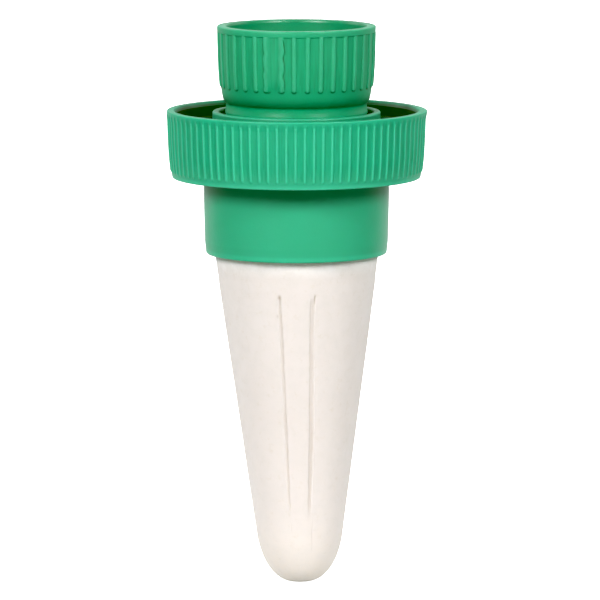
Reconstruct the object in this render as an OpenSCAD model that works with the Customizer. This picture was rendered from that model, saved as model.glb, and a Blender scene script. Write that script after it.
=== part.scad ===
// Self watering spike: a hollow porous clay cone under a two-size bottle
// holder. Millimetres, +Z up, origin at the tip of the cone.

/* [Clay cone] */
// Height of the cone's spigot rim above the tip
cone_top = 81.5; // [80.5:0.1:81.8]
// Radius of the tapered outside where it leaves the collar
cone_r = 16.55; // [16.2:0.05:16.7]
// Radius of the straight spigot inside the collar
spigot_r = 16.0; // [15.6:0.05:16.2]
// Radius of the straight bore at the mouth
cone_bore_r = 12.4; // [11.5:0.1:12.8]
// Half the angle between the two grooves down the front, in degrees
score_a = 14; // [8:0.5:20]
// Width of the grooves
score_w = 0.8; // [0.4:0.05:1.2]
// Depth of the grooves
score_d = 0.45; // [0.2:0.05:0.8]
// Height where the grooves run out, above the tip
score_lo = 15.2; // [12:0.1:25]
// Height of the rounded upper ends of the grooves
score_hi = 60.0; // [50:0.1:62]

/* [Holder] */
// Height of the dish rim above the tip
dish_top = 96.6; // [95.5:0.1:98]
// Radius of the plain mouth of the dish
dish_mouth_r = 24.4; // [24.3:0.05:24.6]
// Radius of the dish bore behind the thread
dish_root_r = 24.1; // [23.8:0.05:24.1]
// Radius of the crest of the dish thread
dish_crest_r = 23.15; // [22.9:0.05:23.5]
// Pitch of the dish thread
dish_pitch = 4.0; // [3.5:0.1:4.5]
// Number of grip ribs round the dish
dish_ribs = 88; // [60:1:100]
// Width of a dish rib
dish_rib_w = 0.5; // [0.4:0.05:0.7]
// Inner radius of the collar
collar_bore_r = 17.0; // [16.9:0.05:17.2]
// Radius of the water hole in the floor
water_r = 11.5; // [9:0.1:12]

/* [Neck thread] */
// Outer radius of the cup's neck
neck_r = 14.24; // [14.0:0.02:14.3]
// Bore radius of the dish's inner ring
ring_bore_r = 15.66; // [15.6:0.02:15.8]
// Pitch of the thread between neck and ring
neck_pitch = 3.0; // [2.8:0.1:3.4]
// Turns of thread on each part
neck_turns = 1.4; // [1:0.1:1.5]

/* [Cup] */
// Height of the cup rim above the tip
cup_top = 113.7; // [113:0.1:115]
// Radius of the plain mouth of the cup
cup_mouth_r = 14.1; // [14.05:0.05:14.2]
// Radius of the cup bore behind the thread
cup_root_r = 13.85; // [13.7:0.05:13.85]
// Radius of the crest of the cup thread
cup_crest_r = 12.8; // [12.6:0.05:13.0]
// Pitch of the cup thread
cup_pitch = 3.18; // [2.7:0.01:3.3]
// Number of grip ribs round the cup
cup_ribs = 36; // [24:1:40]
// Width of a cup rib
cup_rib_w = 0.76; // [0.6:0.02:1.0]
// Radius of the hole in the cup floor
cup_hole_r = 9.8; // [9:0.1:10]

/* [Hidden] */
$fn = 96;
floor_z = 85.0;          // top face of the dish floor
roof_z = 83.0;           // underside of the dish floor, inside the collar
collar_z = 67.4;         // lower end of the collar
front = -90;             // polar angle of the front
cup_rib_a = -1.7;        // the cup rib nearest the front, in degrees
dish_rib_a = -0.35;      // the dish rib nearest the front, in degrees
cone_slope = 0.1382;     // growth of the cone's radius with height

// Radius of the cone's outside at height z, on its straight part
function cone_at(z) = cone_r - (67.9 - z) * cone_slope;

// One screw ridge: starts at height z0 and angle a0, climbs pitch a turn.
// r0 is inside the wall that it stands on, r1 is its crest, wb and wc are its
// widths there. Both ends run out into the wall.
module ridge(r0, r1, pitch, turns, z0, a0, wb, wc, steps = 30) {
    n = round(turns * steps);
    fade = 4;
    pts = [for (i = [0:n])
        let (t = i / steps * 360,
             k = min(1, i / fade, (n - i) / fade),
             rc = r0 + (r1 - r0) * max(0.06, k),
             z = z0 + pitch * t / 360,
             c = cos(a0 + t), s = sin(a0 + t))
        each [[r0 * c, r0 * s, z - wb / 2], [rc * c, rc * s, z - wc / 2],
              [rc * c, rc * s, z + wc / 2], [r0 * c, r0 * s, z + wb / 2]]];
    inward = r1 < r0;
    side = [for (i = [0:n - 1]) for (j = [0:3])
        let (a = 4 * i + j, b = 4 * i + (j + 1) % 4, c = a + 4, d = b + 4)
        each [inward ? [a, c, b] : [a, b, c], inward ? [b, c, d] : [b, d, c]]];
    e = 4 * n;
    ends = inward ? [[0, 1, 2], [0, 2, 3], [e, e + 2, e + 1], [e, e + 3, e + 2]]
                  : [[0, 2, 1], [0, 3, 2], [e, e + 1, e + 2], [e, e + 2, e + 3]];
    polyhedron(points = pts, faces = concat(side, ends));
}

// Upright bars round a wall, each leaning with it: from radius ra at height za
// up to radius rb at height zb.
module bars(count, first, w, ra, za, rb, zb, deep, skip = []) {
    lean = atan((rb - ra) / (zb - za));
    len = (zb - za) / cos(lean);
    for (i = [0:count - 1])
        if (len(search(i, skip)) == 0)
            rotate([0, 0, front + first + i * 360 / count])
                translate([ra, 0, za]) rotate([0, lean, 0])
                    translate([-deep, -w / 2, 0]) cube([deep, w, len]);
}

module ceramic_cone() {
    color([0.96, 0.93, 0.9])
    difference() {
        rotate_extrude() polygon([
            [0, 0], [2.4, 0.2], [4.4, 1.15], [5.6, 2.2], [6.5, 3.35], [7.1, 4.5],
            [7.6, 5.7], [8.0, 7.0], [8.42, 8.6], [cone_at(67.9), 67.9],
            [spigot_r, 68.4], [spigot_r, cone_top - 0.5],
            [spigot_r - 0.5, cone_top], [cone_bore_r, cone_top], [cone_bore_r, 62],
            [5.2, 9.6], [4.6, 7.2], [3.0, 5.2], [0, 4.5]]);
        for (a = [-score_a, score_a]) rotate([0, 0, front + a]) groove();
    }
}

// A straight groove up the cone's outside with a round upper end, facing +X
module groove() {
    long = (score_hi - score_lo) * sqrt(1 + cone_slope * cone_slope);
    translate([cone_at(score_lo), 0, score_lo]) rotate([0, atan(cone_slope), 0])
        translate([-score_d, 0, 0]) {
            translate([0, -score_w / 2, 0]) cube([2, score_w, long]);
            translate([0, 0, long]) rotate([0, 90, 0])
                cylinder(r = score_w / 2, h = 2);
        }
}

module cone_seal() {
    color([0.12, 0.12, 0.12])
    rotate_extrude() polygon([
        [spigot_r, 68.9], [16.95, 68.7], [16.95, roof_z], [12.6, roof_z],
        [12.6, cone_top], [spigot_r - 0.5, cone_top], [spigot_r, cone_top - 0.5]]);
}

module holder() {
    color([0.16, 0.62, 0.42])
    union() {
        rotate_extrude() polygon([
            [water_r, roof_z], [collar_bore_r, roof_z], [collar_bore_r, 67.8],
            [collar_bore_r + 0.3, collar_z], [17.7, collar_z], [18.05, 67.5],
            [18.24, 67.75], [18.32, 68.2], [18.45, 70.1], [18.64, 80.3],
            [18.7, 82.3], [19.2, roof_z], [24.3, roof_z], [24.85, 83.12],
            [25.15, 83.45], [25.36, 84.5], [25.5, 85.6], [25.68, 88.4],
            [25.83, 92.0], [25.95, 95.5], [26.18, 95.55], [26.22, 96.3],
            [26.1, 96.52], [25.9, dish_top], [24.95, dish_top],
            [24.75, 96.5], [dish_mouth_r, 95.9], [dish_mouth_r, 93.7],
            [dish_root_r, 93.5], [dish_root_r, floor_z], [17.05, floor_z],
            [16.98, 96.2], [16.8, 96.4], [15.85, 96.4], [ring_bore_r, 96.2],
            [ring_bore_r, floor_z], [water_r, floor_z]]);
        bars(dish_ribs, dish_rib_a, dish_rib_w, 25.62, 84.9, 26.15, 95.8, 0.6);
        ridge(dish_root_r + 0.4, dish_crest_r, dish_pitch, 1.05, 88.3, 200, 2.1, 0.9);
        ridge(ring_bore_r + 0.3, 14.65, neck_pitch, neck_turns, 90.6, 20, 1.35, 0.6);
    }
}

module large_gasket() {
    color([0.12, 0.12, 0.12])
    rotate_extrude() polygon([
        [17.5, floor_z], [23.7, floor_z], [23.9, 85.2], [23.9, 86.3],
        [23.7, 86.5], [17.5, 86.5], [17.3, 86.3], [17.3, 85.2]]);
}

module bottle_cup() {
    color([0.14, 0.58, 0.38])
    union() {
        rotate_extrude() polygon([
            [12.3, 85.4], [13.0, 85.4], [13.2, 85.6], [13.2, 86.85],
            [neck_r, 86.85], [neck_r, 98.2], [14.6, 98.3], [14.8, 98.6],
            [14.95, 99.4], [15.12, 100.4], [15.28, 101.4], [15.42, 102.6],
            [15.55, 104.7], [15.64, 106.7], [15.72, 110], [15.76, 112.4],
            [16.02, 112.5], [16.06, 113.35], [15.97, 113.6], [15.8, cup_top],
            [14.45, cup_top], [14.25, 113.6], [cup_mouth_r, 113.3],
            [cup_mouth_r, 110.9], [cup_root_r, 110.75], [cup_root_r, 100.3],
            [cup_hole_r, 100.3], [cup_hole_r, 98.6], [12.3, 98.2]]);
        // Ribs, but not the two beside the filled groove, which are one pad
        bars(cup_ribs, cup_rib_a, cup_rib_w, 15.45, 101.5, 16.0, 112.7, 0.6);
        for (i = [0:cup_ribs - 1])
            rotate([0, 0, front + cup_rib_a + i * 360 / cup_ribs])
                translate([14.8, 0, 101.5]) rotate([0, 90, 0])
                    cylinder(r = cup_rib_w / 2, h = 0.62);
        rotate([0, 0, front - 24.1]) rotate_extrude(angle = 14.8)
            polygon([[14.9, 101.7], [15.45, 101.5], [16.0, 112.6], [15.2, 112.6]]);
        ridge(cup_root_r + 0.3, cup_crest_r, cup_pitch, 1.5, 103.8, 60, 1.9, 0.8);
        ridge(neck_r - 0.3, 15.3, neck_pitch, neck_turns, 89.1, 20, 1.35, 0.6);
    }
}

module small_gasket() {
    color([0.12, 0.12, 0.12])
    rotate_extrude() polygon([
        [10.4, 100.3], [13.4, 100.3], [13.55, 100.45], [13.55, 101.65],
        [13.4, 101.8], [10.4, 101.8], [10.25, 101.65], [10.25, 100.45]]);
}

module neck_seal() {
    color([0.12, 0.12, 0.12])
    rotate_extrude() polygon([
        [13.25, floor_z + 0.2], [13.45, floor_z], [14.2, floor_z],
        [14.4, floor_z + 0.2], [14.4, 86.6], [14.2, 86.8], [13.45, 86.8],
        [13.25, 86.6]]);
}

ceramic_cone();
cone_seal();
holder();
large_gasket();
bottle_cup();
small_gasket();
neck_seal();
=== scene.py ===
"""Self watering spike: the visible pieces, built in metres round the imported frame."""

import math

import bpy
import numpy as np
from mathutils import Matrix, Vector, noise


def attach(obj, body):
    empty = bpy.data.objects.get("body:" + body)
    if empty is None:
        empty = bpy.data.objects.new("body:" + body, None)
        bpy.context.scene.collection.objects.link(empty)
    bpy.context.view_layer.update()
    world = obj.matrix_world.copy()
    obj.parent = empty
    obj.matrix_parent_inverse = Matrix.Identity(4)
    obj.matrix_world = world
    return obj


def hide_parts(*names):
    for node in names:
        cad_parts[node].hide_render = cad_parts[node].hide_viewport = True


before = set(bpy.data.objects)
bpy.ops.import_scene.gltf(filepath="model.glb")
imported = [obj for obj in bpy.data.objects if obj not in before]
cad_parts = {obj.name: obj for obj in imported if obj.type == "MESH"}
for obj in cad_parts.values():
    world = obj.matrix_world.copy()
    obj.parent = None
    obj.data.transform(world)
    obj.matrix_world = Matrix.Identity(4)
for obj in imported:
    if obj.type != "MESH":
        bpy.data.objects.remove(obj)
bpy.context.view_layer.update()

MM = 0.001
CUP_RIBS, CUP_RIB_A = 36, -1.7
DISH_RIBS, DISH_RIB_A = 88, -0.35


# ---------------------------------------------------------------- camera
# The photograph's view: about 1.1 m away, a little above, long lens.
def make_camera():
    data = bpy.data.cameras.new("camera")
    data.sensor_width = 36.0
    data.lens = 36.0 * 5548.0 / 600.0
    data.clip_start, data.clip_end = 0.05, 30.0
    cam = bpy.data.objects.new("camera", data)
    bpy.context.scene.collection.objects.link(cam)
    cam.location = (0.00072, -1.1165, 0.2062)
    cam.rotation_euler = (math.radians(90.0 - 7.57), 0.0, 0.0)
    bpy.context.scene.camera = cam
    return cam


make_camera()


# ---------------------------------------------------------------- outlines
def rounded(points, closed=True, seg=5):
    """(r, z, fillet) corners in mm to a list of (r, z), with arcs at the corners."""
    out = []
    n = len(points)
    for i, p in enumerate(points):
        f = p[2] if len(p) > 2 else 0.0
        if f <= 0 or (not closed and i in (0, n - 1)):
            out.append((p[0], p[1]))
            continue
        a, b = points[(i - 1) % n], points[(i + 1) % n]
        v1 = np.array([a[0] - p[0], a[1] - p[1]])
        v2 = np.array([b[0] - p[0], b[1] - p[1]])
        l1, l2 = np.linalg.norm(v1), np.linalg.norm(v2)
        v1, v2 = v1 / l1, v2 / l2
        ang = math.acos(max(-1.0, min(1.0, float(v1 @ v2))))
        if ang > math.radians(176):
            out.append((p[0], p[1]))
            continue
        t = min(f / math.tan(ang / 2), 0.48 * l1, 0.48 * l2)
        f = t * math.tan(ang / 2)
        mid = (v1 + v2) / np.linalg.norm(v1 + v2)
        c = np.array([p[0], p[1]]) + mid * f / math.sin(ang / 2)
        s, e = np.array([p[0], p[1]]) + v1 * t, np.array([p[0], p[1]]) + v2 * t
        a0, a1 = math.atan2(*(s - c)[::-1]), math.atan2(*(e - c)[::-1])
        d = (a1 - a0 + math.pi) % (2 * math.pi) - math.pi
        k = max(2, round(seg * abs(d) / (math.pi / 2)))
        for j in range(k + 1):
            w = a0 + d * j / k
            out.append((float(c[0] + f * math.cos(w)), float(c[1] + f * math.sin(w))))
    return out


def dense(outline, zones=(), step=2.5, closed=True, guard=0.12):
    """Adds rows: no edge longer than its zone's step, and a row close to each end of a long one."""
    out = []
    n = len(outline)
    for i in range(n if closed else n - 1):
        a, b = np.array(outline[i]), np.array(outline[(i + 1) % n])
        length = float(np.linalg.norm(b - a))
        out.append(tuple(a))
        if length < 1e-6:
            continue
        stops = {0.0, 1.0}
        if length > 5 * guard:
            stops |= {guard / length, 1 - guard / length}
        for r0, r1, z0, z1, s in zones:
            k = max(1, math.ceil(length / s))
            for j in range(1, k):
                w = j / k
                r, z = a + (b - a) * w
                if r0 <= r <= r1 and z0 <= z <= z1:
                    stops.add(w)
        k = max(1, math.ceil(length / step))
        stops |= {j / k for j in range(k)}
        last = 0.0
        for w in sorted(stops):
            if 0 < w < 1 and (w - last) * length > 0.03 and (1 - w) * length > 0.03:
                out.append(tuple(a + (b - a) * w))
                last = w
    if not closed:
        out.append(tuple(outline[-1]))
    keep = [out[0]]
    for p in out[1:]:
        if math.dist(p, keep[-1]) > 1e-4:
            keep.append(p)
    if closed and math.dist(keep[0], keep[-1]) < 1e-4:
        keep.pop()
    return keep


def spline(points, per=4):
    """A smooth curve through the points."""
    p = [np.array(q, float) for q in points]
    p = [2 * p[0] - p[1]] + p + [2 * p[-1] - p[-2]]
    out = []
    for i in range(1, len(p) - 2):
        for j in range(per):
            t = j / per
            a, b, c, d = p[i - 1], p[i], p[i + 1], p[i + 2]
            q = 0.5 * (
                2 * b
                + (c - a) * t
                + (2 * a - 5 * b + 4 * c - d) * t * t
                + (3 * b - a - 3 * c + d) * t**3
            )
            out.append((float(q[0]), float(q[1])))
    out.append((float(p[-2][0]), float(p[-2][1])))
    return out


def smooth(x, lo, hi):
    """0 below lo, 1 above hi, smooth between (lo may be above hi)."""
    t = np.clip((x - lo) / (hi - lo), 0.0, 1.0)
    return t * t * (3 - 2 * t)


def angles_by_pitch(count, first, offsets):
    """Azimuths in degrees, 0 at the front and positive to the right, denser at each rib."""
    a = [first + 360.0 / count * (i + o) for i in range(count) for o in offsets]
    return np.array(a)


def helix(theta, z, z0, start, pitch, turns, wb, wc, fade=25.0):
    """How much of a thread ridge stands at (theta, z): 0 to 1. theta is the azimuth in degrees, counterclockwise seen from above."""
    best = np.zeros_like(z)
    rel = np.mod(theta - start, 360.0)
    for k in range(int(math.ceil(turns)) + 1):
        t = rel + 360.0 * k
        for tt in (t, t - 360.0):
            ok = (tt >= -1e-6) & (tt <= turns * 360.0 + 1e-6)
            u = np.abs(z - (z0 + pitch * tt / 360.0))
            h = 1 - smooth(u, wc / 2, wb / 2)
            ends = smooth(tt, 0.0, fade) * smooth(turns * 360.0 - tt, 0.0, fade)
            best = np.maximum(best, np.where(ok, h * ends, 0.0))
    return best


def curvature(P, closed):
    """Surface bend at each grid point in 1/mm: above 0 on outer edges, below 0 in hollows."""
    def along(axis, cyclic):
        nxt, prv = np.roll(P, -1, axis), np.roll(P, 1, axis)
        d1, d2 = nxt - P, prv - P
        l1 = np.maximum(np.linalg.norm(d1, axis=-1, keepdims=True), 1e-4)
        l2 = np.maximum(np.linalg.norm(d2, axis=-1, keepdims=True), 1e-4)
        k = 2 * (d1 / l1 + d2 / l2) / np.maximum(l1 + l2, 0.06)
        t = nxt - prv
        if not cyclic:
            k[0] = k[-1] = 0
            t[0], t[-1] = P[1] - P[0], P[-1] - P[-2]
        return k, t

    ku, tu = along(0, closed)
    kv, tv = along(1, True)
    n = np.cross(tv, tu)
    n /= np.maximum(np.linalg.norm(n, axis=-1, keepdims=True), 1e-9)
    return -np.einsum("ijk,ijk->ij", ku + kv, n)


def lathe(name, outline, az, shape=None, poles=False, offset=None, masks=None, coarse=None, fine_rows=None):
    """A closed mesh turned round Z. outline is (r, z) in mm, az the azimuths in degrees.
    shape(R, Z, AZ) gives the changed R and Z. poles: the outline starts and ends on the axis.
    coarse marks the azimuths that are kept in the rows where fine_rows(r, z) is false."""
    rows = np.array(outline, float)
    order = np.argsort(az)
    az = np.asarray(az, float)[order]
    keep = np.ones(len(az), bool) if coarse is None else np.asarray(coarse, bool)[order]
    n, m = len(rows), len(az)
    R = np.repeat(rows[:, :1], m, 1)
    Z = np.repeat(rows[:, 1:], m, 1)
    A = np.repeat(az[None, :], n, 0)
    R0, Z0 = R.copy(), Z.copy()
    if shape:
        R, Z = shape(R, Z, A)
    a = np.radians(A)
    X, Y = R * np.sin(a), -R * np.cos(a)
    if offset:
        X, Y = offset(X, Y, Z)
    co = np.stack([X, Y, Z], -1)
    bend = curvature(co, not poles)
    # edge feeds a painted highlight on outer edges, cavity a painted shade in hollows
    layers = {
        "edge": smooth(bend, 0.9, 3.6),
        "cavity_shade": smooth(-bend, 0.7, 3.2),
    }
    for key, fn in (masks or {}).items():
        layers[key] = fn(R0, Z0, A)
    first, last = (1, n - 1) if poles else (0, n)
    full = np.arange(m)
    part = full[keep]
    picks, start, verts = [], [], 0
    for i in range(first, last):
        cols = full if fine_rows is None or fine_rows(*rows[i]) else part
        picks.append(cols)
        start.append(verts)
        verts += len(cols)
    points = np.concatenate([co[first + k][c] for k, c in enumerate(picks)])
    values = {
        key: np.concatenate([v[first + k][c] for k, c in enumerate(picks)]) for key, v in layers.items()
    }
    quads, tris = [], []
    count = len(picks)
    for k in range(count if not poles else count - 1):
        k2 = (k + 1) % count
        a0, a1, b0, b1 = start[k], picks[k], start[k2], picks[k2]
        if len(a1) == len(b1):
            j = np.arange(len(a1))
            j2 = (j + 1) % len(a1)
            quads.append(np.stack([a0 + j, b0 + j, b0 + j2, a0 + j2], -1))
            continue
        flip = len(a1) > len(b1)
        s0, s1, f0 = (b0, b1, a0) if flip else (a0, a1, b0)
        some = []
        for q in range(len(s1)):
            lo, hi = s1[q], s1[(q + 1) % len(s1)]
            if hi <= lo:
                hi += m
            mid = (lo + hi) // 2
            cq, cq2 = s0 + q, s0 + (q + 1) % len(s1)
            for f in range(lo, hi):
                some.append((cq if f < mid else cq2, f0 + f % m, f0 + (f + 1) % m))
            some.append((cq, f0 + mid % m, cq2))
        some = np.array(some)
        tris.append(some[:, ::-1] if flip else some)
    if poles:
        top = len(points)
        points = np.vstack([points, co[0].mean(0), co[-1].mean(0)])
        for key, v in layers.items():
            values[key] = np.concatenate([values[key], [v[0].mean(), v[-1].mean()]])
        j = np.arange(len(picks[0]))
        tris.append(np.stack([start[0] + j, start[0] + (j + 1) % len(j), np.full(len(j), top)], -1))
        j = np.arange(len(picks[-1]))
        tris.append(np.stack([start[-1] + (j + 1) % len(j), start[-1] + j, np.full(len(j), top + 1)], -1))
    quads = np.concatenate(quads) if quads else np.zeros((0, 4), int)
    tris = np.concatenate(tris) if tris else np.zeros((0, 3), int)

    # outward faces: the volume that they hold has to be positive
    volume = 0.0
    for tri in (quads[:, [0, 1, 2]], quads[:, [0, 2, 3]], tris):
        if len(tri):
            p = points[tri]
            volume += float(np.einsum("ij,ij->i", p[:, 0], np.cross(p[:, 1], p[:, 2])).sum())
    if volume < 0:
        quads, tris = quads[:, ::-1], tris[:, ::-1]
    mesh = bpy.data.meshes.new(name)
    nq, nt = len(quads), len(tris)
    mesh.vertices.add(len(points))
    mesh.vertices.foreach_set("co", (points * MM).astype(np.float32).ravel())
    loops = np.concatenate([quads.ravel(), tris.ravel()]).astype(np.int32)
    mesh.loops.add(len(loops))
    mesh.loops.foreach_set("vertex_index", loops)
    starts = np.concatenate([np.arange(nq) * 4, nq * 4 + np.arange(nt) * 3]).astype(np.int32)
    mesh.polygons.add(nq + nt)
    mesh.polygons.foreach_set("loop_start", starts)
    mesh.update(calc_edges=True)
    mesh.validate()
    mesh.polygons.foreach_set("use_smooth", np.ones(len(mesh.polygons), bool))
    for key, v in values.items():
        layer = mesh.attributes.new(key, "FLOAT", "POINT")
        layer.data.foreach_set("value", v.astype(np.float32))
    mesh.update()
    obj = bpy.data.objects.new(name, mesh)
    bpy.context.scene.collection.objects.link(obj)
    return obj


# ---------------------------------------------------------------- materials
def new_material(name):
    mat = bpy.data.materials.new(name)
    mat.use_nodes = True
    nt = mat.node_tree
    nt.nodes.clear()
    out = nt.nodes.new("ShaderNodeOutputMaterial")
    bsdf = nt.nodes.new("ShaderNodeBsdfPrincipled")
    nt.links.new(bsdf.outputs["BSDF"], out.inputs["Surface"])
    coord = nt.nodes.new("ShaderNodeTexCoord")
    return mat, nt, bsdf, coord


def node(nt, kind, **props):
    n = nt.nodes.new(kind)
    for k, v in props.items():
        setattr(n, k, v)
    return n


def noise_tex(nt, coord, scale, detail=3.0, rough=0.5, stretch=None):
    t = node(nt, "ShaderNodeTexNoise")
    t.inputs["Scale"].default_value = scale
    t.inputs["Detail"].default_value = detail
    t.inputs["Roughness"].default_value = rough
    if stretch:
        mp = node(nt, "ShaderNodeMapping")
        mp.inputs["Scale"].default_value = stretch
        nt.links.new(coord.outputs["Object"], mp.inputs["Vector"])
        nt.links.new(mp.outputs["Vector"], t.inputs["Vector"])
    else:
        nt.links.new(coord.outputs["Object"], t.inputs["Vector"])
    return t


def ramp(nt, source, stops):
    r = node(nt, "ShaderNodeValToRGB")
    e = r.color_ramp.elements
    while len(e) > 1:
        e.remove(e[-1])
    e[0].position, e[0].color = stops[0][0], (*stops[0][1], 1.0)
    for pos, col in stops[1:]:
        x = e.new(pos)
        x.color = (*col, 1.0)
    nt.links.new(source, r.inputs["Fac"])
    return r


def mix(nt, a, b, fac, mode="MIX"):
    """Mixes two colours. a and b are sockets or colours, fac a socket or number."""
    m = node(nt, "ShaderNodeMix", data_type="RGBA", blend_type=mode)
    for s, v in ((m.inputs[6], a), (m.inputs[7], b), (m.inputs[0], fac)):
        if isinstance(v, bpy.types.NodeSocket):
            nt.links.new(v, s)
        elif isinstance(v, (int, float)):
            s.default_value = v
        else:
            s.default_value = (*v, 1.0)
    return m.outputs[2]


def mapped(nt, source, lo, hi, a=0.0, b=1.0):
    m = node(nt, "ShaderNodeMapRange")
    m.inputs["From Min"].default_value = a
    m.inputs["From Max"].default_value = b
    m.inputs["To Min"].default_value = lo
    m.inputs["To Max"].default_value = hi
    nt.links.new(source, m.inputs["Value"])
    return m.outputs["Result"]


def times(nt, a, b):
    m = node(nt, "ShaderNodeMath", operation="MULTIPLY")
    for s, v in zip(m.inputs, (a, b)):
        if isinstance(v, bpy.types.NodeSocket):
            nt.links.new(v, s)
        else:
            s.default_value = v
    return m.outputs[0]


def attribute(nt, name):
    return node(nt, "ShaderNodeAttribute", attribute_name=name).outputs["Fac"]


def bump(nt, height, strength, distance, below=None):
    b = node(nt, "ShaderNodeBump")
    b.inputs["Strength"].default_value = strength
    b.inputs["Distance"].default_value = distance
    nt.links.new(height, b.inputs["Height"])
    if below is not None:
        nt.links.new(below, b.inputs["Normal"])
    return b.outputs["Normal"]


def green_plastic(name, tone):
    """Moulded polypropylene: satin skin, faint flow clouding, with painted highlights that make rib crests and edges
    paler and painted shade in hollows, recesses and under parts.
    """
    mat, nt, bsdf, coord = new_material(name)
    cloud = noise_tex(nt, coord, 85.0, 3.0, 0.55)
    flow = noise_tex(nt, coord, 60.0, 4.0, 0.6, (1.0, 1.0, 0.35))
    base = ramp(
        nt,
        cloud.outputs["Fac"],
        [(0.30, tuple(0.95 * v for v in tone)), (0.52, tone), (0.74, tuple(1.05 * v for v in tone))],
    ).outputs["Color"]
    # painted shade: darker in hollows and creases
    hollow_shade = attribute(nt, "cavity_shade")
    base = mix(nt, base, tuple(v * k for v, k in zip(tone, (0.45, 0.72, 0.62))), times(nt, hollow_shade, 0.2))
    # painted shade: a deep darkening inside the dish and bores, under the cup, on back rims, in rib valleys and
    # under rib ends
    inner = attribute(nt, "inner")
    base = mix(nt, base, tuple(v * k for v, k in zip(tone, (0.04, 0.17, 0.07))), inner)
    # painted highlight and sheen: whiter on the ring's bottom edge and lower band and over the collar
    bloom_and_sheen = attribute(nt, "bloom_and_sheen")
    base = mix(nt, base, tuple(v * k + c for v, k, c in zip(tone, (1.0, 0.98, 0.98), (0.05, 0.02, 0.025))), bloom_and_sheen)
    # painted highlight: paler rib crests, bands and rim edges, broken into patches by noise
    crest = attribute(nt, "crest")
    highlight_breakup = noise_tex(nt, coord, 520.0, 3.0, 0.6)
    patchy = mapped(nt, highlight_breakup.outputs["Fac"], 0.7, 1.0, 0.3, 0.7)
    streak = noise_tex(nt, coord, 2500.0, 2.0, 0.6, (1.0, 1.0, 0.03))
    drawn = times(nt, attribute(nt, "comb"), mapped(nt, streak.outputs["Fac"], 0.0, 0.75, 0.46, 0.66))
    base = mix(nt, base, tuple(0.76 * v for v in tone), drawn)
    crest_highlight_tone = tuple(min(1.0, v * k + c) for v, k, c in zip(tone, (1.0, 1.25, 1.33), (0.045, 0.045, 0.045)))
    base = mix(nt, base, crest_highlight_tone, times(nt, crest, patchy))
    # painted highlight: paler on outer edges, in patches
    edge = attribute(nt, "edge")
    edge_highlight_tone = tuple(min(1.0, v * k + c) for v, k, c in zip(tone, (1.0, 1.2, 1.25), (0.03, 0.03, 0.03)))
    base = mix(nt, base, edge_highlight_tone, times(nt, times(nt, edge, patchy), 0.45))
    nt.links.new(base, bsdf.inputs["Base Color"])
    rough = mapped(nt, flow.outputs["Fac"], 0.40, 0.52, 0.3, 0.7)
    rough = times(nt, rough, mapped(nt, attribute(nt, "polish"), 1.0, 0.55))
    nt.links.new(rough, bsdf.inputs["Roughness"])
    bsdf.inputs["IOR"].default_value = 1.52
    bsdf.inputs["Subsurface Weight"].default_value = 0.35
    bsdf.inputs["Subsurface Radius"].default_value = (0.25, 1.0, 0.7)
    bsdf.inputs["Subsurface Scale"].default_value = 0.00045
    grain = noise_tex(nt, coord, 2400.0, 2.0, 0.5)
    wave = noise_tex(nt, coord, 170.0, 2.0, 0.4)
    n1 = bump(nt, wave.outputs["Fac"], 0.6, 0.0002)
    n2 = bump(nt, grain.outputs["Fac"], 0.35, 0.00006, n1)
    nt.links.new(n2, bsdf.inputs["Normal"])
    return mat


def fired_clay():
    """Porous unglazed clay: matte, off-white, a little creamy, with fine grain and pores."""
    mat, nt, bsdf, coord = new_material("fired_clay")
    big = noise_tex(nt, coord, 38.0, 3.0, 0.55)
    body = ramp(
        nt,
        big.outputs["Fac"],
        [(0.30, (0.806, 0.749, 0.711)), (0.50, (0.822, 0.768, 0.731)), (0.72, (0.834, 0.788, 0.755))],
    ).outputs["Color"]
    split = node(nt, "ShaderNodeSeparateXYZ")
    nt.links.new(coord.outputs["Object"], split.inputs["Vector"])
    low = mapped(nt, split.outputs["Z"], 1.0, 0.0, 0.0, 0.020)
    body = mix(nt, body, (0.82, 0.748, 0.65), times(nt, times(nt, low, low), 0.8))
    # painted contact shadow: a dark line at the very tip, below 0.8 mm
    foot = mapped(nt, split.outputs["Z"], 1.0, 0.0, 0.0003, 0.0008)
    body = mix(nt, body, (0.30, 0.30, 0.24), times(nt, foot, 0.85))
    # painted light: the clay just below the collar is lightened against the collar's shadow
    light_under_collar = times(
        nt, mapped(nt, split.outputs["Z"], 0.0, 0.9, 0.0640, 0.0668), mapped(nt, split.outputs["Z"], 1.0, 0.0, 0.0676, 0.0684)
    )
    body = mix(nt, body, (0.97, 0.94, 0.915), light_under_collar)
    mid = noise_tex(nt, coord, 420.0, 3.0, 0.65)
    body = mix(nt, body, (0.78, 0.735, 0.695), mapped(nt, mid.outputs["Fac"], 0.0, 0.55, 0.42, 0.7))
    fine = noise_tex(nt, coord, 750.0, 4.0, 0.65)
    speck = mapped(nt, fine.outputs["Fac"], 0.0, 1.0, 0.57, 0.76)
    body = mix(nt, body, (0.72, 0.65, 0.56), times(nt, speck, 0.42))
    # darker and browner in the grooves: painted shade along their walls and top ends, plus a few real nicks and
    # hairlines
    body = mix(nt, body, (0.50, 0.43, 0.35), attribute(nt, "groove"))
    nt.links.new(body, bsdf.inputs["Base Color"])
    nt.links.new(mapped(nt, fine.outputs["Fac"], 0.82, 0.98, 0.3, 0.7), bsdf.inputs["Roughness"])
    bsdf.inputs["IOR"].default_value = 1.35
    bsdf.inputs["Diffuse Roughness"].default_value = 0.9
    bsdf.inputs["Subsurface Weight"].default_value = 0.6
    bsdf.inputs["Subsurface Radius"].default_value = (1.0, 0.98, 0.92)
    bsdf.inputs["Subsurface Scale"].default_value = 0.0019
    pores = noise_tex(nt, coord, 2300.0, 3.0, 0.7)
    lumps = noise_tex(nt, coord, 240.0, 3.0, 0.5)
    n1 = bump(nt, lumps.outputs["Fac"], 0.45, 0.00020)
    n2 = bump(nt, pores.outputs["Fac"], 0.45, 0.00007, n1)
    nt.links.new(n2, bsdf.inputs["Normal"])
    return mat


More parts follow.
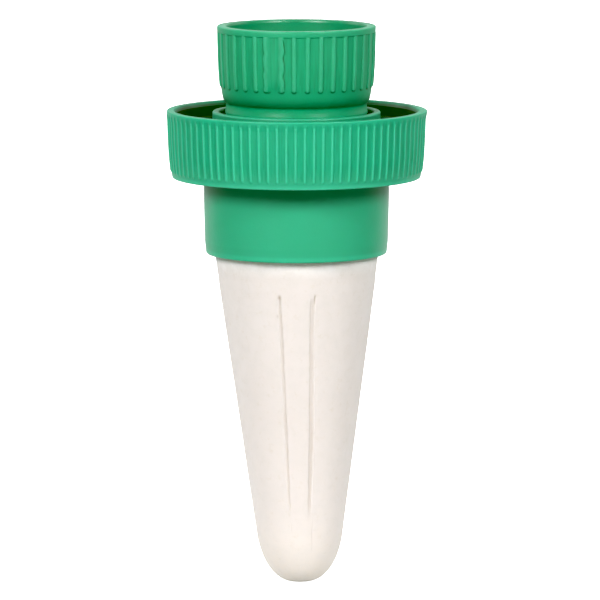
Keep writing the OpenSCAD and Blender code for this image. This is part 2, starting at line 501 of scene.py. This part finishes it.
def seal_rubber():
    """Black seal rubber: satin, with a faint bloom and moulding grain."""
    mat, nt, bsdf, coord = new_material("seal_rubber")
    bloom_and_sheen = noise_tex(nt, coord, 120.0, 4.0, 0.6)
    c = ramp(
        nt,
        bloom_and_sheen.outputs["Fac"],
        [(0.3, (0.019, 0.013, 0.030)), (0.6, (0.029, 0.022, 0.039)), (0.85, (0.056, 0.050, 0.064))],
    )
    nt.links.new(c.outputs["Color"], bsdf.inputs["Base Color"])
    nt.links.new(mapped(nt, bloom_and_sheen.outputs["Fac"], 0.42, 0.68, 0.3, 0.75), bsdf.inputs["Roughness"])
    bsdf.inputs["IOR"].default_value = 1.52
    grain = noise_tex(nt, coord, 1900.0, 2.0, 0.5)
    nt.links.new(bump(nt, grain.outputs["Fac"], 0.25, 0.00006), bsdf.inputs["Normal"])
    return mat


GREEN = green_plastic("green_plastic", (0.011, 0.43, 0.230))
CUP_GREEN = green_plastic("cup_plastic", (0.008, 0.358, 0.168))
CLAY, RUBBER = fired_clay(), seal_rubber()


def finish_piece(obj, body, nodes, mat):
    obj.data.materials.append(mat)
    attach(obj, body)
    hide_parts(nodes)
    return obj


# ---------------------------------------------------------------- clay cone
GROOVE_TOP, GROOVE_END = 60.6, 14.4


def wobble(z, seed, scale):
    flat = np.asarray(z, float).ravel()
    keys, inv = np.unique(np.round(flat, 3), return_inverse=True)
    vals = np.array([noise.noise(Vector((seed, 3.7 * seed, float(k) * scale))) for k in keys])
    return vals[inv].reshape(np.shape(z))


def groove_parts(R, Z, A):
    """The two scored grooves: how deep, how much painted shade and how many marks they carry, and how far their
    burrs stand up, each 0 to 1.
    """
    deep, shade_and_marks, burr = np.zeros_like(Z), np.zeros_like(Z), np.zeros_like(Z)
    outside = (Z < 66.0) & (R > 0.1)
    courses = {
        -1: np.interp(Z, (15.0, 30.0, 39.0, 52.0, 60.0), (-11.9, -12.1, -12.5, -12.6, -13.0)),
        1: np.interp(Z, (15.0, 30.0, 39.0, 52.0, 60.0), (12.0, 12.6, 12.1, 11.4, 11.3)),
    }
    ends = smooth(Z, GROOVE_END - 0.8, GROOVE_END + 4.0)
    for side, seed, wide in ((-1, 1.3, 0.34), (1, 5.1, 0.50)):
        x = (A - courses[side]) * np.pi / 180.0 * R
        x = x + 0.07 * wobble(Z, seed, 0.45) + 0.06 * wobble(Z, seed + 2, 1.9)
        half = wide - 0.13 * smooth(Z, 32.0, 16.0) + 0.06 * wobble(Z, seed + 4, 0.9)
        top = GROOVE_TOP - (0.5 if side < 0 else 1.2)
        over = np.where(Z > top, Z - top, 0.0)
        d = np.sqrt(x * x + over * over) - half
        here = (1 - smooth(d, -0.26, 0.10)) * ends
        deep = np.maximum(deep, here)
        # painted shade lines along the groove walls, on the right of the left groove and on both sides of the right
        # one
        line = np.exp(-(((x - (0.14 if side < 0 else -0.34)) / 0.11) ** 2))
        if side > 0:
            line = np.maximum(line, 0.7 * np.exp(-(((x - 0.22) / 0.12) ** 2)))
        broken = 0.65 + 0.6 * wobble(Z, seed + 6, 1.3)
        # the dark top ends: cut a little deeper and painted as shadow
        if side < 0:
            nick = np.exp(-((x / 0.30) ** 2) - ((Z - top - 0.1) / 0.45) ** 2)
        else:
            slant = x - 0.48 - 0.10 * (Z - 59.7)
            nick = np.exp(-((slant / 0.17) ** 2)) * smooth(Z, 58.5, 59.6) * smooth(Z, 61.0, 60.5)
        # painted shade inside each groove, a little more low down in the right one
        below = smooth(Z, 38.0, 26.0) * 0.08 * (side > 0)
        shade_and_marks = np.maximum(shade_and_marks, (0.16 + below) * here)
        shade_and_marks = np.maximum(shade_and_marks, 0.34 * line * np.clip(broken, 0.2, 1.0) * here)
        shade_and_marks, deep = np.maximum(shade_and_marks, 0.75 * nick), np.maximum(deep, 0.8 * nick)
        lip = side * (half + 0.14)
        rise = np.exp(-(((x - lip) / 0.13) ** 2)) * ends * smooth(Z, top + 0.2, top - 0.6)
        burr = np.maximum(burr, rise * np.clip(0.7 + 0.9 * wobble(Z, seed + 8, 1.1), 0.0, 1.0))
    # one nick beside the left groove, and the hairlines below both
    x = (A + 15.0) * np.pi / 180.0 * R
    shade_and_marks = np.maximum(shade_and_marks, 0.5 * np.exp(-((x / 0.22) ** 2) - ((Z - 56.6) / 0.3) ** 2))
    for at, lo, hi in ((-10.5, 10.5, 13.5), (16.4, 7.0, 14.5)):
        x = (A - at) * np.pi / 180.0 * R + 0.08 * wobble(Z, at, 0.8)
        hair = (1 - smooth(np.abs(x), 0.02, 0.14)) * smooth(Z, lo, lo + 1.5) * smooth(Z, hi, hi - 1.0)
        deep, shade_and_marks = np.maximum(deep, 0.25 * hair), np.maximum(shade_and_marks, 0.12 * hair)
    return [np.where(outside, v, 0.0) for v in (deep, shade_and_marks, burr)]


def clay_cone():
    tip = [
        (0.0, 0.0), (1.35, 0.035), (2.6, 0.2), (3.6, 0.55), (4.55, 1.12), (5.55, 2.1),
        (6.4, 3.2), (7.02, 4.3), (7.52, 5.35), (7.88, 6.33), (8.2, 7.35), (8.47, 8.4),
        (8.80, 10.4), (9.09, 12.5),
    ]
    outer = spline(tip, 3)
    outer += [(9.67 + 0.1382 * (z - 16.7), z) for z in np.arange(13.0, 60.1, 0.55)]
    outer += [(9.67 + 0.1382 * (z - 16.7), z) for z in np.arange(60.2, 61.6, 0.2)]
    outer += [(15.98, 63.0), (16.2, 64.8)]
    top = rounded(
        [(16.38, 66.2), (16.58, 67.9, 0.3), (16.0, 68.35, 0.2), (16.0, 81.5, 0.6), (12.4, 81.5, 0.5), (12.4, 62.0)],
        closed=False,
    )
    inner = [(5.2 + 7.2 * (z - 9.6) / 52.4, z) for z in np.arange(60.0, 9.7, -3.0)]
    inner += spline([(5.2, 9.6), (4.75, 7.4), (3.9, 6.0), (2.6, 5.0), (1.2, 4.6), (0.0, 4.5)], 3)
    outline = dense(outer + top + inner, step=2.2, closed=False, guard=0.15)
    az = np.concatenate(
        [
            np.arange(-180.0, -20.0, 2.5), np.arange(-20.0, -17.6, 0.8), np.arange(-17.6, -9.0, 0.3),
            np.arange(-9.0, 8.0, 1.3), np.arange(8.0, 17.6, 0.3), np.arange(17.6, 20.0, 0.8),
            np.arange(20.0, 180.0, 2.5),
        ]
    )

    az = np.unique(np.round(az, 3))
    az = az[np.concatenate([[True], np.diff(az) > 0.05])]

    def shape(R, Z, A):
        out = (Z < 67.5) & (R > 0.0)
        hand = np.zeros_like(R)
        a = np.radians(A)
        # a thrown and fettled surface: very slightly out of round, with long soft waves
        hand += 0.035 * np.cos(2 * a + 0.7) * smooth(Z, 4.0, 20.0)
        hand += 0.03 * wobble(Z, 9.3, 0.12)
        hand += 0.012 * np.cos(5 * a + Z * 0.11)
        R2 = R + np.where(out & (R > 2.0), hand, 0.0) * smooth(Z, 67.2, 62.0)
        deep, _, burr = groove_parts(R, Z, A)
        R2 = R2 - 0.25 * deep + 0.07 * burr
        inside = R < (5.2 + 7.2 * (Z - 9.6) / 52.4) + 1.2
        R2 = np.where(inside & (Z < 66), R, R2)
        return np.maximum(R2, 0.0), Z

    def lean(X, Y, Z):
        # this cone sits 0.66 degree off the holder's axis, about its seat
        return X + (72.0 - Z) * math.tan(math.radians(0.62)), Y

    # the painted groove shade and marks, a little less on the burrs
    def mask(R, Z, A):
        inside = R < (5.2 + 7.2 * (Z - 9.6) / 52.4) + 1.2
        _, shade_and_marks, burr = groove_parts(R, Z, A)
        return np.where(inside, 0.0, shade_and_marks - 0.12 * burr)

    obj = lathe("clay_cone", outline, az, shape, poles=True, offset=lean, masks={"groove": mask})
    return finish_piece(obj, "spike", "ceramic_cone", CLAY)


# ---------------------------------------------------------------- holder
def holder():
    corners = [
        (18.375, 68.4), (18.427, 68.9), (18.54, 70.1), (18.76, 79.0), (18.78, 83.0, 0.35), (25.10, 83.0, 0.24),
        (25.28, 84.0), (25.38, 84.5), (25.45, 85.2), (25.58, 86.4), (25.74, 88.4), (25.90, 92.0),
        (25.99, 94.7), (26.12, 95.62, 0.1), (26.21, 96.2), (26.21, 96.6, 0.17), (24.85, 96.6, 0.16),
        (24.4, 95.85, 0.25), (24.4, 93.7, 0.06), (24.1, 93.5, 0.06), (24.1, 85.0, 0.5),
        (17.05, 85.0, 0.3), (16.98, 96.4, 0.34), (15.66, 96.4, 0.34), (15.66, 85.0, 0.3),
        (11.5, 85.0, 0.3), (11.5, 83.0, 0.3), (17.0, 83.0, 0.2), (17.0, 67.55, 0.3), (18.3, 67.55, 0.6),
    ]
    base = rounded(corners, seg=4)
    zones = [
        (25.2, 26.3, 83.9, 85.25, 0.12), (25.2, 26.3, 95.05, 95.75, 0.09), (25.2, 26.3, 85.25, 95.05, 1.4),
        (24.0, 24.2, 86.6, 93.5, 0.26), (15.6, 15.7, 89.4, 95.9, 0.22),
    ]
    outline = dense(base, zones, step=6.0)
    side = (0.04, 0.08, 0.115, 0.15, 0.19, 0.235)
    offsets = (-0.5,) + tuple(-v for v in side[::-1]) + (0.0,) + side
    az = angles_by_pitch(DISH_RIBS, DISH_RIB_A, offsets)
    coarse = np.tile([o in (-0.5, -0.19, 0.19) for o in offsets], DISH_RIBS)
    pitch = 360.0 / DISH_RIBS

    def profile(A):
        """Height share of the ribs, which have round crests."""
        d = np.abs((np.mod(A - DISH_RIB_A + pitch / 2, pitch) - pitch / 2) * np.pi / 180.0 * 25.8)
        return 1 - smooth(d, 0.04, 0.44)

    def on_wall(R, Z):
        return (R > 25.2) & (Z > 83.9) & (Z < 95.75)

    def shape(R, Z, A):
        low = smooth(Z, 84.0, 84.7)
        rib = np.minimum(R + 0.19 * profile(A) * low, np.maximum(R, 26.23))
        R = np.where(on_wall(R, Z), rib, R)
        # the rim stands out a little at one side
        flare = np.exp(-(((A - 88.0) / 11.0) ** 2)) * smooth(Z, 95.0, 96.2) * (R > 25.5)
        R = R + 0.24 * flare
        th = A - 90.0
        dish = (R > 24.0) & (R < 24.2) & (Z > 86.0) & (Z < 93.6)
        R = np.where(dish, R - 0.95 * helix(th, Z, 88.3, 200.0, 4.0, 1.05, 2.1, 0.9), R)
        bore = (R > 15.6) & (R < 15.7) & (Z > 89.0) & (Z < 96.0)
        R = np.where(bore, R - 1.01 * helix(th, Z, 90.6, 20.0, 3.0, 1.4, 1.35, 0.6), R)
        return R, Z

    # painted highlight: paler rib crests, a faint top band, the ring's bottom edge and foot band, and the collar's
    # bottom lip
    def crest(R, Z, A):
        rib = smooth(profile(A), 0.28, 0.85) * smooth(Z, 84.0, 84.8) * smooth(Z, 95.6, 95.2)
        band = smooth(Z, 95.5, 95.8) * smooth(Z, 96.55, 96.35) * (R > 26.0) * 0.05
        foot = (R > 24.6) * (R < 25.6) * (Z > 82.9)
        band = band + foot * (0.3 * smooth(Z, 84.9, 84.2) + 0.7 * smooth(Z, 83.7, 83.3))
        band = band + 0.65 * (R > 17.4) * (R < 18.7) * smooth(Z, 68.8, 68.3)
        return np.where(on_wall(R, Z), np.maximum(rib, band), band)

    # painted shade: the dish's inside, the back rim's top, the inner ring, the valleys between ribs and the bore
    # down the collar
    def inner(R, Z, A):
        dish = (R < 24.9) * (R > 17.2) * (Z > 84.0) * smooth(Z, 96.5, 95.95)
        back = smooth(np.abs(np.mod(A + 180.0, 360.0) - 180.0), 90.0, 120.0)
        dish = np.maximum(dish, 0.22 * back * (R > 24.5) * smooth(Z, 96.2, 96.5))
        ring = 0.25 * (R < 17.4) * (R > 16.9) * (Z > 84.9)
        ring = np.maximum(ring, 0.09 * on_wall(R, Z) * (1 - profile(A)))
        return np.maximum(np.maximum(dish, ring), (R < 17.0) * (Z > 68.0) * np.maximum(0.3, smooth(Z, 96.2, 95.6)))

    def polish(R, Z, A):
        return 0.75 * (R > 18.0) * (R < 19.0) * smooth(Z, 83.0, 81.0)

    # painted highlight and sheen: a bright line on the ring's bottom edge, a paler lower band, and a sheen over the
    # collar below the dish
    def bloom_and_sheen(R, Z, A):
        lip = (R > 24.6) * (R < 25.35) * (Z > 82.9) * np.maximum(smooth(Z, 83.5, 83.1), 0.35 * smooth(Z, 84.6, 83.8))
        lower_band_highlight = 0.35 * (R > 25.3) * smooth(Z, 87.5, 85.0)
        return np.maximum(np.maximum(lip, lower_band_highlight), 0.62 * (R > 18.0) * (R < 19.0) * smooth(Z, 82.0, 79.0))

    def comb(R, Z, A):
        return on_wall(R, Z) * smooth(Z, 84.2, 85.4)

    obj = lathe(
        "bottle_holder", outline, az, shape,
        masks={"crest": crest, "inner": inner, "polish": polish, "bloom_and_sheen": bloom_and_sheen, "comb": comb},
        coarse=coarse, fine_rows=lambda r, z: r > 25.2 and 83.8 < z < 95.85,
    )
    return finish_piece(obj, "head", "holder", GREEN)


# ---------------------------------------------------------------- cup
def cup():
    corners = [
        (14.24, 97.8), (14.28, 98.03), (14.42, 98.2), (14.60, 98.42), (14.76, 98.78), (14.90, 99.3), (15.02, 99.9),
        (15.14, 100.6), (15.27, 101.4),
        (15.40, 102.4), (15.56, 104.7), (15.66, 106.7), (15.76, 110.5), (15.80, 112.36),
        (16.00, 112.54), (16.05, 113.2), (16.05, 113.7, 0.22), (14.25, 113.7, 0.25),
        (14.1, 113.2, 0.3), (14.1, 110.9, 0.06), (13.85, 110.75, 0.06), (13.85, 100.3, 0.5),
        (9.8, 100.3, 0.3), (9.8, 98.4, 0.3), (12.3, 98.4, 0.3), (12.3, 85.4, 0.2), (13.2, 85.4, 0.25),
        (13.2, 86.85, 0.1), (14.24, 86.85, 0.25), (14.24, 95.9), (14.39, 96.1), (14.39, 96.3), (14.34, 96.62), (14.28, 97.0),
        (14.25, 97.35),
    ]
    base = rounded(corners, seg=4)
    zones = [
        (15.1, 16.1, 101.0, 102.9, 0.10), (15.1, 16.1, 102.9, 112.1, 0.33), (15.1, 16.1, 112.1, 112.7, 0.07),
        (13.8, 13.9, 102.3, 110.4, 0.19), (14.2, 14.3, 87.6, 95.0, 0.19),
    ]
    outline = dense(base, zones, step=6.0)
    side = (0.045, 0.08, 0.11, 0.135, 0.16, 0.185, 0.215, 0.26, 0.33, 0.41)
    offsets = (-0.5,) + tuple(-v for v in side[::-1]) + (0.0,) + side
    az = angles_by_pitch(CUP_RIBS, CUP_RIB_A, offsets)
    coarse = np.tile([o in (-0.5, -0.33, -0.16, 0.0, 0.16, 0.33) for o in offsets], CUP_RIBS)
    # more columns where the two joined ribs are; the azimuths run from -6.7 to 353.3
    extra = np.arange(-27.0, -6.9, 0.35) + 360.0
    extra = extra[[np.abs(az - v).min() > 0.12 for v in extra]]
    az, coarse = np.concatenate([az, extra]), np.concatenate([coarse, np.zeros(len(extra), bool)])
    heights = {}

    def shape(R, Z, A):
        A = np.mod(A + 180.0, 360.0) - 180.0
        pitch = 360.0 / CUP_RIBS
        mm = np.pi / 180.0 * 15.85
        w = 0.40
        foot = 101.45 + w
        wall = (R > 15.05) & (Z > 100.9) & (Z < 112.56)

        def rib_at(x, z, half=w):
            drop = np.where(z < foot, foot - z, 0.0)
            d = np.sqrt(x * x + drop * drop)
            crown = np.sqrt(np.clip(1 - (d / (half + 0.06)) ** 3, 0.0, 1.0))
            return np.maximum(crown, 0.2 * (1 - smooth(d, half - 0.08, half + 0.2)))

        x = (np.mod(A - CUP_RIB_A + pitch / 2, pitch) - pitch / 2) * mm
        h = rib_at(x, Z)
        # one groove is filled: two ribs run together into a pad with wavy sides
        left, right = -23.2, -10.9
        wl = 0.10 * np.sin(Z * 2 * np.pi / 3.3 + 0.6) + 0.05 * np.sin(Z * 2 * np.pi / 1.7)
        wr = 0.13 * np.sin(Z * 2 * np.pi / 3.5 + 2.2) + 0.04 * np.sin(Z * 2 * np.pi / 1.9 + 1.0)
        fade = smooth(Z, 112.4, 111.2) * smooth(Z, 101.6, 102.8)
        xl = (A - left) * mm - wl * fade
        xr = (A - right) * mm + wr * fade
        near = (A > left - 4.9) & (A < right + 4.9)
        outer = np.maximum(
            np.where(xl < 0, rib_at(xl, Z), 0.0), np.where(xr > 0, rib_at(xr, Z), 0.0)
        )
        own = np.maximum(rib_at(xl, Z), rib_at(xr, Z))
        between = (xl >= 0) & (xr <= 0)
        soft = np.maximum(1 - smooth((A - left) * mm, 0.2, 0.95), 1 - smooth((right - A) * mm, 0.2, 0.95))
        soft = soft * smooth(Z, 101.9, 103.2)
        valley = 0.10 * np.exp(-(((A + 18.9) * mm) / 0.16) ** 2) + 0.13 * np.exp(-(((A + 14.2) * mm) / 0.16) ** 2)
        fill = (0.60 - valley) * smooth(Z, 100.9, 104.0)
        fill = fill + (0.97 - fill) * soft
        pad = np.where(between, np.maximum(own, fill), np.maximum(outer, own))
        h = np.where(near, pad, h)
        h = h * smooth(Z, 112.56, 112.34)
        # painted highlight on the rib crests, less in the middle of the pad
        wide = smooth(np.minimum(xl, -xr), 0.2, 0.7) * near
        heights["rib"] = np.where(wall, smooth(h, 0.3, 0.95) * (0.62 - 0.42 * wide), 0.0)
        # painted shadow under each rib's round end, and painted shade along the pad's outer edges
        low_end = np.minimum(np.abs(x), np.where(near, np.minimum(np.abs(xl), np.abs(xr)), 9.0))
        d = np.sqrt(low_end**2 + (foot - Z) ** 2)
        moon = smooth(d, w - 0.02, w + 0.08) * (1 - smooth(d, w + 0.16, w + 0.42)) * smooth(foot - Z, 0.10, 0.32)
        side = np.exp(-(((xr - w - 0.14) / 0.15) ** 2)) + 0.35 * np.exp(-(((xl + w + 0.12) / 0.13) ** 2))
        side = side * near * fade
        heights["shade"] = np.where(wall, np.maximum(0.75 * moon, 0.7 * side), 0.0)
        R = np.where(wall, R + 0.25 * h - 0.05 * side, R)
        th = A - 90.0
        bore = (R > 13.8) & (R < 13.9) & (Z > 102.0) & (Z < 110.6)
        R = np.where(bore, R - 1.05 * helix(th, Z, 103.8, 60.0, 3.18, 1.5, 1.9, 0.8), R)
        neck = (R > 14.2) & (R < 14.28) & (Z > 87.4) & (Z < 95.4)
        R = np.where(neck, R + 1.06 * helix(th, Z, 89.1, 20.0, 3.0, 1.4, 1.35, 0.6), R)
        return R, Z

    # painted highlight: paler rib crests, a paler top band, and a bright line on the front of the rim
    def crest(R, Z, A):
        band = smooth(Z, 112.5, 112.8) * smooth(Z, 113.65, 113.5) * (R > 15.3) * 0.35
        lip = 0.8 * smooth(Z, 113.45, 113.68) * (R > 14.0)
        return np.maximum(heights["rib"], np.maximum(band, lip * smooth(np.abs(np.mod(A + 180.0, 360.0) - 180.0), 110.0, 80.0)))

    # painted shade: the bore, the back of the rim, the cup's underside towards the neck, the neck, and the painted
    # shadows under the ribs
    def inner(R, Z, A):
        bore = 0.28 * (R < 14.4) * (Z > 98.0) * smooth(Z, 113.75, 113.45)
        back = 0.36 * smooth(Z, 112.9, 113.4) * smooth(np.abs(np.mod(A + 180.0, 360.0) - 180.0), 90.0, 120.0)
        bore = np.maximum(bore, back)
        under = 0.65 * smooth(Z, 100.7, 98.3) * (R > 14.4) + 0.1 * (R > 14.0) * (R < 14.4) * (Z < 98.4)
        return np.maximum(np.maximum(bore, under), heights["shade"])

    def polish(R, Z, A):
        return 0.55 * (R < 14.6) * (R > 14.2) * (Z > 95.0) * (Z < 98.4) + 0.5 * (Z > 112.6) * (R < 14.7)

    def comb(R, Z, A):
        return (R > 15.05) * smooth(Z, 100.9, 102.0) * smooth(Z, 112.6, 112.3)

    obj = lathe(
        "small_bottle_cup", outline, az, shape,
        masks={"crest": crest, "inner": inner, "polish": polish, "comb": comb}, coarse=coarse,
        fine_rows=lambda r, z: r > 15.1 and 100.9 < z < 112.75,
    )
    return finish_piece(obj, "cup", "bottle_cup", CUP_GREEN)


# ---------------------------------------------------------------- rubber
def rubber(name, corners, body, cad_node, lip=0.0):
    outline = dense(rounded(corners, seg=4), step=1.2)
    az = np.arange(0.0, 360.0, 2.5)

    def shape(R, Z, A):
        a = np.radians(A)
        return R + 0.012 * np.cos(3 * a + 0.4), Z

    obj = lathe(name, outline, az, shape)
    return finish_piece(obj, body, cad_node, RUBBER)


clay_cone()
holder()
cup()
rubber(
    "cone_sleeve",
    [(16.0, 68.9, 0.15), (16.93, 68.7, 0.25), (16.93, 83.0, 0.35), (12.62, 83.0, 0.3), (12.62, 81.5, 0.2),
     (15.4, 81.5, 0.3), (16.0, 80.9, 0.2)],
    "spike", "cone_seal",
)
rubber("large_washer", [(17.32, 85.0, 0.3), (23.88, 85.0, 0.3), (23.88, 86.5, 0.3), (17.32, 86.5, 0.3)], "head", "large_gasket")
rubber("small_washer", [(10.27, 100.3, 0.2), (13.53, 100.3, 0.2), (13.53, 101.8, 0.25), (10.27, 101.8, 0.25)], "cup", "small_gasket")
rubber("neck_ring", [(13.27, 85.0, 0.3), (14.38, 85.0, 0.3), (14.38, 86.8, 0.3), (13.27, 86.8, 0.3)], "neck_ring", "neck_seal")


# ---------------------------------------------------------------- stage
def stage():
    """A white sweep: it shows white all over, and doesn't light the object from below."""
    mat, nt, bsdf, coord = new_material("pale_floor")
    n = noise_tex(nt, coord, 9.0, 2.0, 0.5)
    c = ramp(nt, n.outputs["Fac"], [(0.3, (0.90, 0.90, 0.90)), (0.7, (0.92, 0.92, 0.92))])
    nt.links.new(c.outputs["Color"], bsdf.inputs["Base Color"])
    bsdf.inputs["Roughness"].default_value = 0.85
    bsdf.inputs["Specular IOR Level"].default_value = 0.2
    bsdf.inputs["Emission Color"].default_value = (1.0, 1.0, 1.0, 1.0)
    bsdf.inputs["Emission Strength"].default_value = 1.0
    mesh = bpy.data.meshes.new("floor")
    s = 8.0
    mesh.from_pydata([(-s, -s, 0), (s, -s, 0), (s, s, 0), (-s, s, 0)], [], [(0, 1, 2, 3)])
    mesh.materials.append(mat)
    floor = bpy.data.objects.new("floor", mesh)
    bpy.context.scene.collection.objects.link(floor)
    floor.visible_diffuse = floor.visible_glossy = False


def area(name, az, el, dist, size, level, target=(0, 0, 0.08)):
    """A softbox. level is the light that it throws on a white card facing it, 1 being white."""
    data = bpy.data.lights.new(name, "AREA")
    data.shape = "RECTANGLE"
    data.size, data.size_y = size
    data.energy = level * math.pi**2 * dist**2
    obj = bpy.data.objects.new(name, data)
    bpy.context.scene.collection.objects.link(obj)
    a, e = math.radians(az), math.radians(el)
    t = Vector(target)
    pos = t + Vector((math.sin(a) * math.cos(e), -math.cos(a) * math.cos(e), math.sin(e))) * dist
    obj.location = pos
    obj.rotation_euler = (t - pos).to_track_quat("-Z", "Y").to_euler()
    return obj


def card():
    """The lit tabletop round the foot, which throws light up at the clay."""
    data = bpy.data.lights.new("card", "AREA")
    data.shape = "DISK"
    data.size = 0.11
    data.energy = 0.44 * math.pi**2 * 0.055**2
    obj = bpy.data.objects.new("card", data)
    bpy.context.scene.collection.objects.link(obj)
    obj.location = (0.0, -0.01, -0.004)
    obj.rotation_euler = (math.pi, 0.0, 0.0)
    obj.visible_camera = obj.visible_glossy = False
    return obj


def grade():
    """Straight transfer with slightly deep blacks, as the photograph's studio picture has."""
    view = bpy.context.scene.view_settings
    view.view_transform = "Standard"
    view.use_curve_mapping = True
    view.curve_mapping.black_level = (0.010, 0.0, 0.024)
    view.curve_mapping.update()


def surroundings():
    """White walls to look at, with a dimmer and even light of their own on the object."""
    world = bpy.data.worlds.new("studio")
    bpy.context.scene.world = world
    world.use_nodes = True
    nt = world.node_tree
    nt.nodes.clear()
    out = nt.nodes.new("ShaderNodeOutputWorld")
    seen, lit = nt.nodes.new("ShaderNodeBackground"), nt.nodes.new("ShaderNodeBackground")
    seen.inputs["Color"].default_value = (1.0, 1.0, 1.0, 1.0)
    seen.inputs["Strength"].default_value = 1.0
    lit.inputs["Color"].default_value = (1.0, 0.995, 0.985, 1.0)
    path = nt.nodes.new("ShaderNodeLightPath")
    both = nt.nodes.new("ShaderNodeMixShader")
    coord = nt.nodes.new("ShaderNodeTexCoord")
    split = nt.nodes.new("ShaderNodeSeparateXYZ")
    nt.links.new(coord.outputs["Generated"], split.inputs["Vector"])

    def level(axis, lo, hi, low, high):
        m = nt.nodes.new("ShaderNodeMapRange")
        m.interpolation_type = "SMOOTHSTEP"
        for k, v in (("From Min", lo), ("From Max", hi), ("To Min", low), ("To Max", high)):
            m.inputs[k].default_value = v
        nt.links.new(split.outputs[axis], m.inputs["Value"])
        return m.outputs["Result"]

    nt.links.new(level("Z", -0.45, 0.3, 0.38, 0.02), lit.inputs["Strength"])
    # what the gloss shows: a white wall behind, a dimmer room in front, little from below
    shown = nt.nodes.new("ShaderNodeBackground")
    shown.inputs["Color"].default_value = (1.0, 1.0, 1.0, 1.0)
    room = nt.nodes.new("ShaderNodeMath")
    room.operation = "MULTIPLY"
    nt.links.new(level("Y", 0.1, 0.9, 0.07, 0.75), room.inputs[0])
    nt.links.new(level("Z", 0.25, 0.75, 1.0, 0.15), room.inputs[1])
    nt.links.new(room.outputs[0], shown.inputs["Strength"])
    inner = nt.nodes.new("ShaderNodeMixShader")
    nt.links.new(path.outputs["Is Glossy Ray"], inner.inputs["Fac"])
    nt.links.new(seen.outputs["Background"], inner.inputs[1])
    nt.links.new(shown.outputs["Background"], inner.inputs[2])
    nt.links.new(path.outputs["Is Diffuse Ray"], both.inputs["Fac"])
    nt.links.new(inner.outputs["Shader"], both.inputs[1])
    nt.links.new(lit.outputs["Background"], both.inputs[2])
    nt.links.new(both.outputs["Shader"], out.inputs["Surface"])


stage()
surroundings()
area("soft_left", -34, 28.5, 1.2, (0.32, 0.36), 0.77)
area("soft_right", 37, 28.5, 1.2, (0.32, 0.36), 0.635)
area("side_left", -112, 24, 1.3, (0.6, 0.6), 0.19)
area("side_right", 112, 24, 1.3, (0.6, 0.6), 0.15)
area("back", 180, 35, 1.4, (0.8, 0.5), 0.08)
area("back_low", 180, 10, 1.4, (0.7, 0.5), 0.26).visible_glossy = False
card()
grade()
